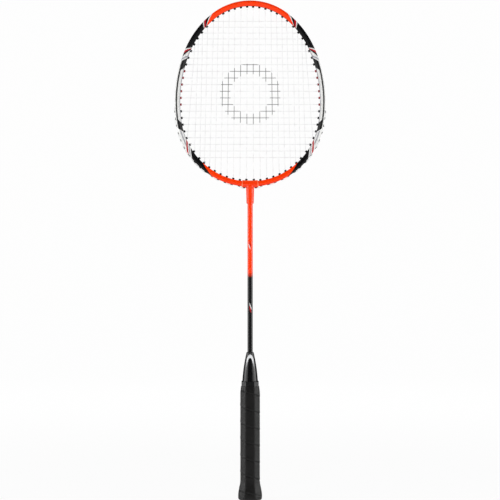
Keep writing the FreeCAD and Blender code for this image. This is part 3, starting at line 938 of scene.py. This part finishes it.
class RACKET_OT_throat(bpy.types.Operator):
    """Finish the throat sleeve and the insert that fills the frame behind it"""

    bl_idname = "racket.throat"
    bl_label = "Throat sleeve and insert"

    def execute(self, context):
        sleeve = lacquered("sleeve_orange", sleeve_colour, gloss=0.18, specular=0.35)
        dress(sleeve, "throat_sleeve")
        dress(moulded("insert_grained", paint("insert"), 0.6), "throat_core")
        return {"FINISHED"}


class RACKET_OT_shaft(bpy.types.Operator):
    """Lacquer the shaft from orange to black"""

    bl_idname = "racket.shaft"
    bl_label = "Shaft"

    def execute(self, context):
        dress(lacquered("shaft_fade", shaft_colour, gloss=0.18, specular=0.35), "shaft")
        return {"FINISHED"}


class RACKET_OT_grommets(bpy.types.Operator):
    """Finish the black grommets, and the red ones at the sides"""

    bl_idname = "racket.grommets"
    bl_label = "Grommets"

    def execute(self, context):
        nylon = {}
        for tint in ("black", "red"):
            slot = "grommet_" + tint
            nylon[tint] = moulded(slot + "_nylon", paint(slot), 0.42, grain=3000.0, specular=0.2)
        for name in [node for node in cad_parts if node.startswith("grommets_")]:
            tint = "red" if "red" in name else "black"
            dress(nylon[tint], name)
            piece = lipped_grommets(name, nylon[tint])
            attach(piece, "root")
            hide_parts(name)
        return {"FINISHED"}


class RACKET_OT_strings(bpy.types.Operator):
    """Weave the main string and the cross string, and finish the knots"""

    bl_idname = "racket.strings"
    bl_label = "Strings and knots"

    def execute(self, context):
        gauge = sizes().string_gauge
        main, main_level = string_path("main_string", gauge)
        cross, cross_level = string_path("cross_string", gauge)
        main_rank = ranks(main, long_runs(main), 0)
        cross_rank = ranks(cross, long_runs(cross), 1)
        tint = paint("string")
        braid = {"grain": 4200.0, "depth": 0.00003, "specular": 0.2}
        nylon = moulded("string_braided", tint, 0.35, colour_of=ring_on_strings, **braid)
        knot = moulded("knot_nylon", tint, 0.4, grain=4200.0, depth=0.00005, specular=0.4)
        made = [
            ("main_string", woven_points(main, main_level, main_rank, cross, cross_rank, -1)),
            ("cross_string", woven_points(cross, cross_level, cross_rank, main, main_rank, 1)),
        ]
        for node, points in made:
            tube = string_tube("woven_" + node, points, gauge, nylon)
            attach(tube, "root")
            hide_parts(node)
        dress(nylon, "main_string", "cross_string")
        dress(knot, "string_knots")
        return {"FINISHED"}


class RACKET_OT_cone(bpy.types.Operator):
    """Finish the cone and the vinyl band below it"""

    bl_idname = "racket.cone"
    bl_label = "Cone and finishing band"

    def execute(self, context):
        smooth = {"grain": 900.0, "depth": 0.00001, "specular": 0.4}
        gloss = moulded("cone_gloss", paint("plastic"), 0.22, colour_of=cone_colour, **smooth)
        rippled = {"grain": 420.0, "depth": 0.0001, "specular": 0.4}
        vinyl = moulded("band_vinyl_gloss", paint("black"), 0.25, **rippled)
        dress(gloss, "cone_cap")
        dress(vinyl, "finishing_band")
        return {"FINISHED"}


class RACKET_OT_grip(bpy.types.Operator):
    """Wind the cushioned grip round the handle"""

    bl_idname = "racket.grip"
    bl_label = "Wound grip"

    def execute(self, context):
        leather = grip_material()
        mesh = grip_mesh()
        mesh.materials.append(leather)
        grip = new_object("grip_wound", mesh)
        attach(grip, "root")
        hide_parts("grip_wrap")
        dress(leather, "grip_wrap")
        return {"FINISHED"}


class RACKET_OT_butt(bpy.types.Operator):
    """Finish the handle core, the butt cap, the end disc and its staples"""

    bl_idname = "racket.butt"
    bl_label = "Handle core and butt"

    def execute(self, context):
        dress(timber_material(), "handle_core")
        dress(moulded("cap_moulded", paint("cap"), 0.5), "butt_cap")
        disc = moulded("disc_textured", paint("plastic"), 0.55, grain=1400.0, depth=0.00015)
        dress(disc, "butt_disc")
        dress(staple_material(), "butt_staples")
        return {"FINISHED"}


def studio_material():
    """Pale paper that keeps a soft shadow. Reflections show a pale floor and pale sides."""
    material, w, shader = new_material("studio_paper")
    tint = paint("studio")
    fibre = w.noise(3.0)
    shader.inputs["Roughness"].default_value = 0.9
    shader.inputs["Specular IOR Level"].default_value = 0.0
    w.put(shader.inputs["Base Color"], w.mix(fibre, darker(tint, 0.995), tint))
    x, y, z = w.place()
    reach = w.math("SQRT", w.math("ADD", w.math("MULTIPLY", x, x), w.math("MULTIPLY", y, y)))
    off_side = w.math("DIVIDE", w.math("ABSOLUTE", y), w.math("ADD", reach, 1.0))
    sides = w.both(w.ramp(off_side, *MIRRORED_SIDES, 1.0, 0.0), w.past(reach, *SIDES_START))
    floor = w.both(w.ramp(reach, *MIRRORED_FLOOR, 1.0, 0.0), w.ramp(z, 0.0, 50.0, 1.0, 0.0))
    pale = w.math("MULTIPLY", w.either(floor, sides), MIRRORED_PALE)
    mirrored = w.math("MAXIMUM", pale, MIRRORED_DARK)
    rays = w.add("LightPath").outputs
    seen = rays["Is Camera Ray"]
    reflected = w.either(rays["Is Glossy Ray"], rays["Is Transmission Ray"])
    glow = w.add("Emission")
    w.put(glow.inputs["Strength"], w.blend(seen, mirrored, 1.0))
    white = w.ramp(reach, *WHITENING, *WHITENESS)
    mixed = w.add("MixShader")
    w.put(mixed.inputs[0], w.either(w.math("MULTIPLY", seen, white), reflected))
    w.put(mixed.inputs[1], shader.outputs[0])
    w.put(mixed.inputs[2], glow.outputs[0])
    w.put(material.node_tree.nodes["Material Output"].inputs["Surface"], mixed.outputs[0])
    return material


def studio_bowl(radius=4.4, bend=0.8, wall=1.6, sides=96, floor_steps=6, bend_steps=12):
    """Round floor that curves up into a wall all the way round."""
    profile = [(radius * step / floor_steps, 0.0) for step in range(floor_steps + 1)]
    for step in range(1, bend_steps + 1):
        turn = pi / 2 * step / bend_steps
        profile.append((radius + bend * sin(turn), bend * (1 - cos(turn))))
    profile.append((radius + bend, wall))
    vertices = [(0, 0, 0)]
    for reach, height in profile[1:]:
        for side in range(sides):
            angle = 2 * pi * side / sides
            vertices.append((reach * cos(angle), reach * sin(angle), height))
    faces = [(0, 1 + side, 1 + (side + 1) % sides) for side in range(sides)]
    for ring in range(len(profile) - 2):
        here = 1 + ring * sides
        for side in range(sides):
            ahead = (side + 1) % sides
            faces.append((here + side, here + sides + side, here + sides + ahead, here + ahead))
    mesh = bpy.data.meshes.new("studio_bowl")
    mesh.from_pydata(vertices, [], faces)
    mesh.shade_smooth()
    return mesh


def softbox(lamp, target):
    """Area lamp aimed at target. Azimuth 0 is the camera's side, and 90 the racket's right."""
    panel = bpy.data.lights.new(lamp.name, "AREA")
    panel.shape = "RECTANGLE"
    panel.size = lamp.width
    panel.size_y = lamp.height
    panel.energy = lamp.brightness * pi * lamp.width * lamp.height
    stand = new_object(lamp.name, panel)
    a, e = radians(lamp.azimuth), radians(lamp.elevation)
    away = Vector((sin(a) * cos(e), -cos(a) * cos(e), sin(e)))
    stand.location = target + away * lamp.distance
    stand.rotation_mode = "QUATERNION"
    stand.rotation_quaternion = (-away).to_track_quat("-Z", "Y")
    stand.visible_camera = False
    stand.visible_glossy = lamp.mirrored


class RACKET_OT_studio(bpy.types.Operator):
    """Set up the floor, the soft lamps and the camera"""

    bl_idname = "racket.studio"
    bl_label = "Studio, lamps and camera"

    def execute(self, context):
        scene = context.scene
        mesh = studio_bowl()
        mesh.materials.append(studio_material())
        bowl = new_object("studio_bowl", mesh)
        bowl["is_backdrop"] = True
        low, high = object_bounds()
        middle = (low + high) / 2
        for lamp in LAMPS:
            softbox(lamp, middle)
        world = bpy.data.worlds.new("studio_air")
        world.use_nodes = True
        air = world.node_tree.nodes["Background"]
        air.inputs["Color"].default_value = paint("air")
        air.inputs["Strength"].default_value = AIR_STRENGTH
        scene.world = world
        scene.view_settings.view_transform = "Standard"
        lens = bpy.data.cameras.new("camera")
        lens.lens = FOCAL_LENGTH
        lens.sensor_width = SENSOR_WIDTH
        camera = new_object("camera", lens)
        distance = (high.z - low.z) * FOCAL_LENGTH / SENSOR_WIDTH
        camera.location = (CAMERA_ACROSS, -distance, middle.z + CAMERA_UP)
        camera.rotation_euler = (radians(90), 0, 0)
        scene.camera = camera
        return {"FINISHED"}


STEPS = [
    RACKET_OT_head_frame,
    RACKET_OT_throat,
    RACKET_OT_shaft,
    RACKET_OT_grommets,
    RACKET_OT_strings,
    RACKET_OT_cone,
    RACKET_OT_grip,
    RACKET_OT_butt,
    RACKET_OT_studio,
]


class RACKET_PT_racket(bpy.types.Panel):
    """Racket's pieces, sizes and colours"""

    bl_idname = "RACKET_PT_racket"
    bl_label = "Badminton racket"
    bl_space_type = "VIEW_3D"
    bl_region_type = "UI"
    bl_category = "Racket"

    def draw(self, context):
        for step in STEPS:
            self.layout.operator(step.bl_idname)
        for group in (context.scene.racket_sizes, context.scene.racket_colours):
            box = self.layout.box()
            for name in group.__annotations__:
                box.prop(group, name)


CLASSES = [RacketSizes, RacketColours, *STEPS, RACKET_PT_racket]


def register():
    for cls in CLASSES:
        bpy.utils.register_class(cls)
    bpy.types.Scene.racket_sizes = PointerProperty(type=RacketSizes)
    bpy.types.Scene.racket_colours = PointerProperty(type=RacketColours)


def unregister():
    del bpy.types.Scene.racket_colours
    del bpy.types.Scene.racket_sizes
    for cls in reversed(CLASSES):
        bpy.utils.unregister_class(cls)


def main():
    """Builds every piece in order."""
    register()
    for step in STEPS:
        getattr(bpy.ops.racket, step.bl_idname.split(".")[1])()
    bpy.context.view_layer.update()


if __name__ == "__main__":
    main()
